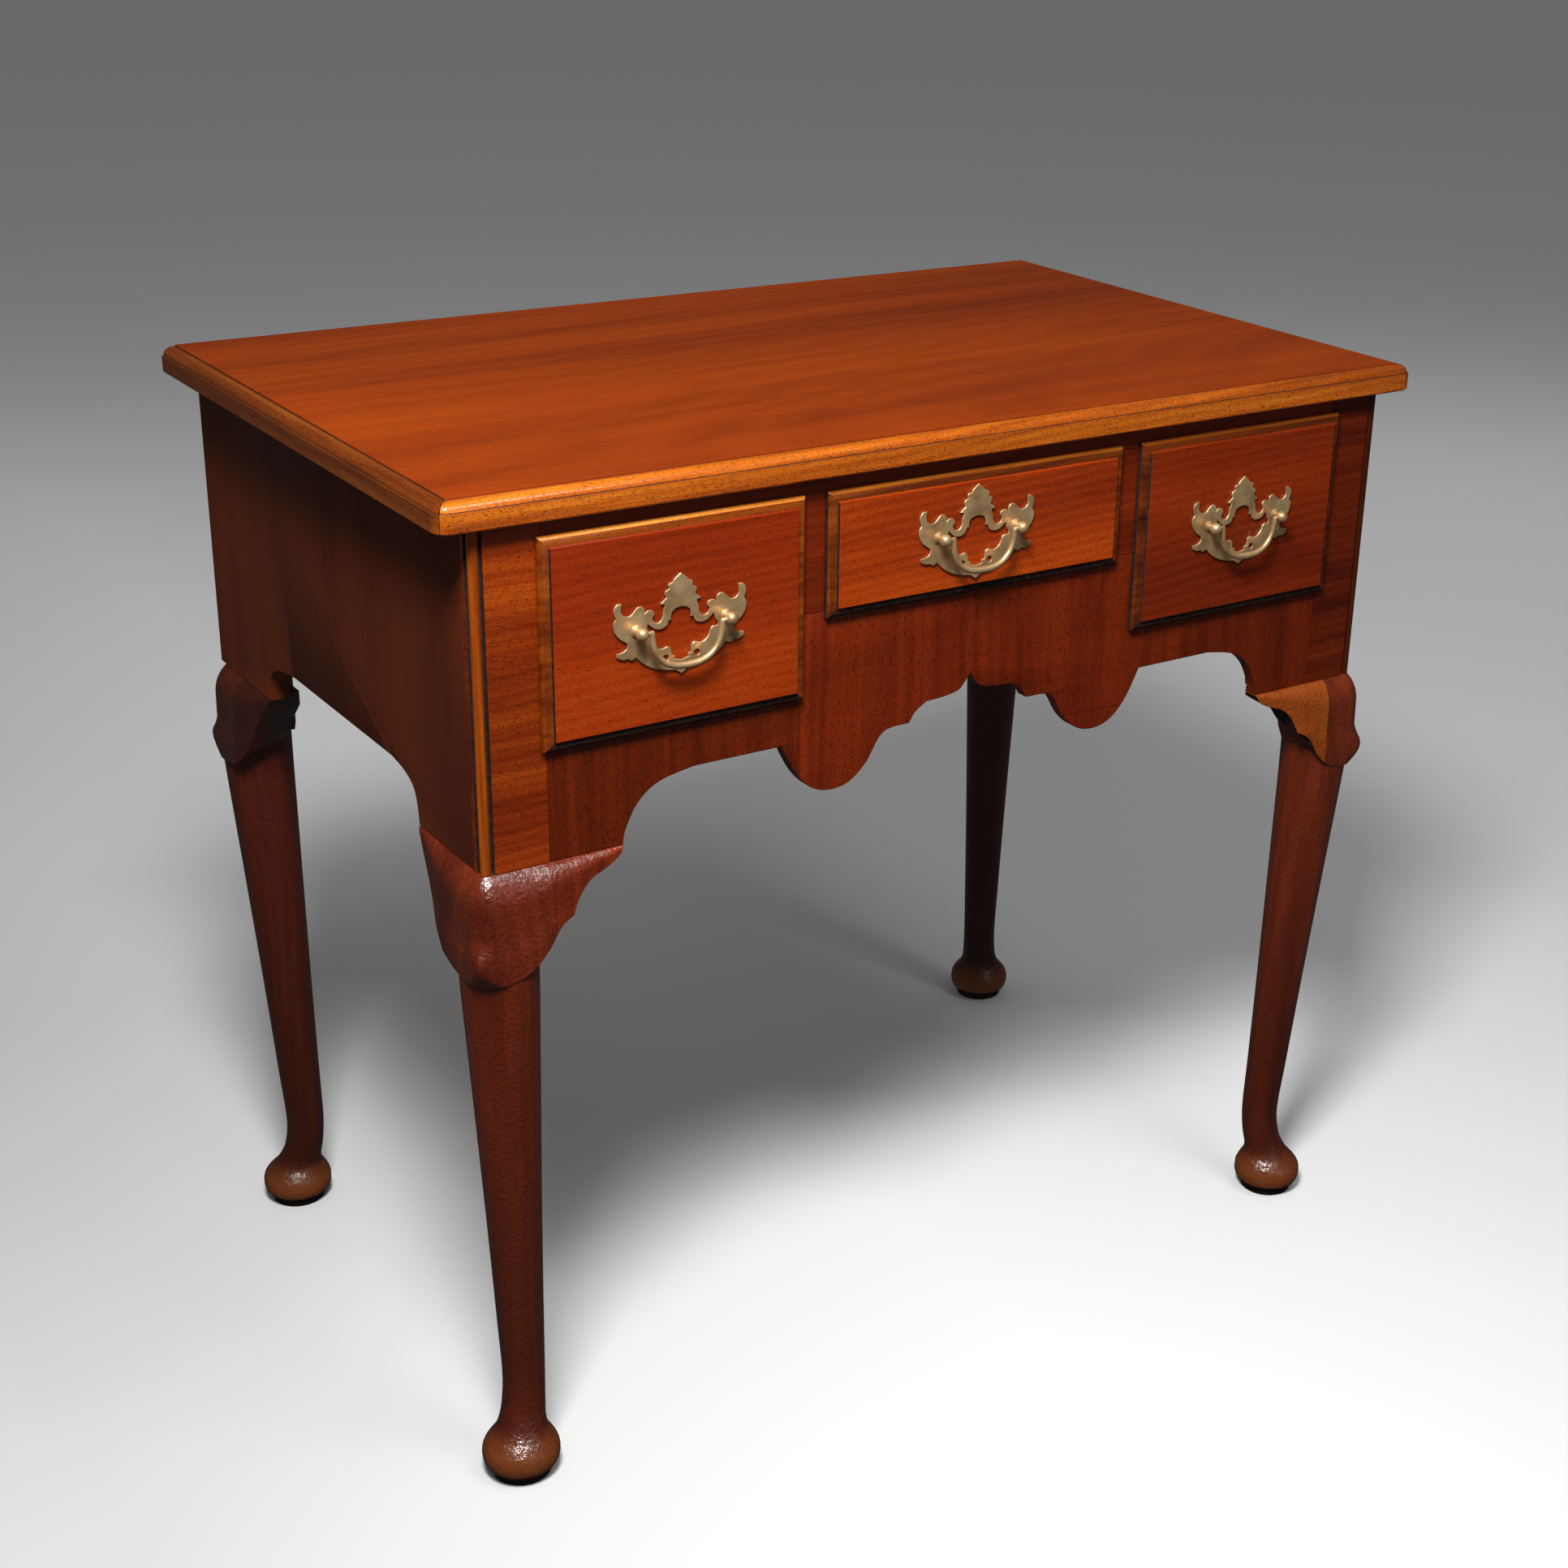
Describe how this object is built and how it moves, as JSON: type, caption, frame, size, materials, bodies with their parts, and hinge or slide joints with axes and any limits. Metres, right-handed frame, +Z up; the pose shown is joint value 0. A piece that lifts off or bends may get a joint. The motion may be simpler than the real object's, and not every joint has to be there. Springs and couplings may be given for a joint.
{
  "type": "lowboy",
  "caption": "Wooden side table with drawers over a scrolled apron, bail handles on pierced plates, a moulded top and pad feet.",
  "frame": {"origin": "on the floor, under the middle of the whole piece's length and depth", "axes": "+Z up, +X along the front to the right as seen from the front, +Y from the front to the back, so the drawers open towards -Y"},
  "size_m": [0.7904, 0.4906, 0.715],
  "materials": {
    "top_mahogany": "polished",
    "edge_mahogany": "polished",
    "front_mahogany": "polished",
    "drawer_mahogany": "polished",
    "side_mahogany": "polished",
    "leg_mahogany": "polished",
    "ear_mahogany": "polished",
    "inner_oak": "unfinished",
    "frame_pine": "unfinished",
    "aged_brass": "aged"
  },
  "bodies": {
    "case": {"top_board": "top_mahogany", "top_moulding_front": "edge_mahogany", "top_moulding_left": "edge_mahogany", "top_moulding_right": "edge_mahogany", "front_apron": "front_mahogany", "top_rail": "front_mahogany", "drawer_divider_left": "front_mahogany", "drawer_divider_right": "front_mahogany", "stile_left": "front_mahogany", "stile_right": "front_mahogany", "side_panel_left": "side_mahogany", "side_panel_right": "side_mahogany", "back_board": "frame_pine", "leg_front_left": "leg_mahogany", "leg_front_right": "leg_mahogany", "leg_back_left": "leg_mahogany", "leg_back_right": "leg_mahogany", "knee_ear_front_left": "ear_mahogany", "knee_ear_front_right": "ear_mahogany", "knee_ear_front_side_left": "ear_mahogany", "knee_ear_front_side_right": "ear_mahogany", "knee_ear_back_side_left": "ear_mahogany", "knee_ear_back_side_right": "ear_mahogany", "back_rail": "frame_pine", "bearer_left_outer": "frame_pine", "bearer_left_inner": "frame_pine", "bearer_centre_left": "frame_pine", "bearer_centre_right": "frame_pine", "bearer_right_inner": "frame_pine", "bearer_right_outer": "frame_pine", "kicker_left": "frame_pine", "kicker_right": "frame_pine"},
    "drawer_left": {"drawer_left_front": "drawer_mahogany", "drawer_left_side_left": "inner_oak", "drawer_left_side_right": "inner_oak", "drawer_left_back": "inner_oak", "drawer_left_bottom": "inner_oak", "drawer_left_backplate": "aged_brass", "drawer_left_post_left": "aged_brass", "drawer_left_post_right": "aged_brass"},
    "drawer_centre": {"drawer_centre_front": "drawer_mahogany", "drawer_centre_side_left": "inner_oak", "drawer_centre_side_right": "inner_oak", "drawer_centre_back": "inner_oak", "drawer_centre_bottom": "inner_oak", "drawer_centre_backplate": "aged_brass", "drawer_centre_post_left": "aged_brass", "drawer_centre_post_right": "aged_brass"},
    "drawer_right": {"drawer_right_front": "drawer_mahogany", "drawer_right_side_left": "inner_oak", "drawer_right_side_right": "inner_oak", "drawer_right_back": "inner_oak", "drawer_right_bottom": "inner_oak", "drawer_right_backplate": "aged_brass", "drawer_right_post_left": "aged_brass", "drawer_right_post_right": "aged_brass"},
    "bail_left": {"drawer_left_bail": "aged_brass"},
    "bail_centre": {"drawer_centre_bail": "aged_brass"},
    "bail_right": {"drawer_right_bail": "aged_brass"}
  },
  "joints": [
    {"name": "drawer_left_slide", "type": "slide", "parent": "case", "child": "drawer_left", "axis": [0, -1, 0], "range_m": [0, 0.3]},
    {"name": "drawer_centre_slide", "type": "slide", "parent": "case", "child": "drawer_centre", "axis": [0, -1, 0], "range_m": [0, 0.3]},
    {"name": "drawer_right_slide", "type": "slide", "parent": "case", "child": "drawer_right", "axis": [0, -1, 0], "range_m": [0, 0.3]},
    {"name": "bail_left_swing", "type": "hinge", "parent": "drawer_left", "child": "bail_left", "pos_m": [-0.234, -0.24095, 0.61655], "axis": [-1, 0, 0], "range_deg": [-12, 95]},
    {"name": "bail_centre_swing", "type": "hinge", "parent": "drawer_centre", "child": "bail_centre", "pos_m": [-0.006, -0.24095, 0.6431], "axis": [-1, 0, 0], "range_deg": [-12, 95]},
    {"name": "bail_right_swing", "type": "hinge", "parent": "drawer_right", "child": "bail_right", "pos_m": [0.234, -0.24095, 0.61655], "axis": [-1, 0, 0], "range_deg": [-12, 95]}
  ]
}
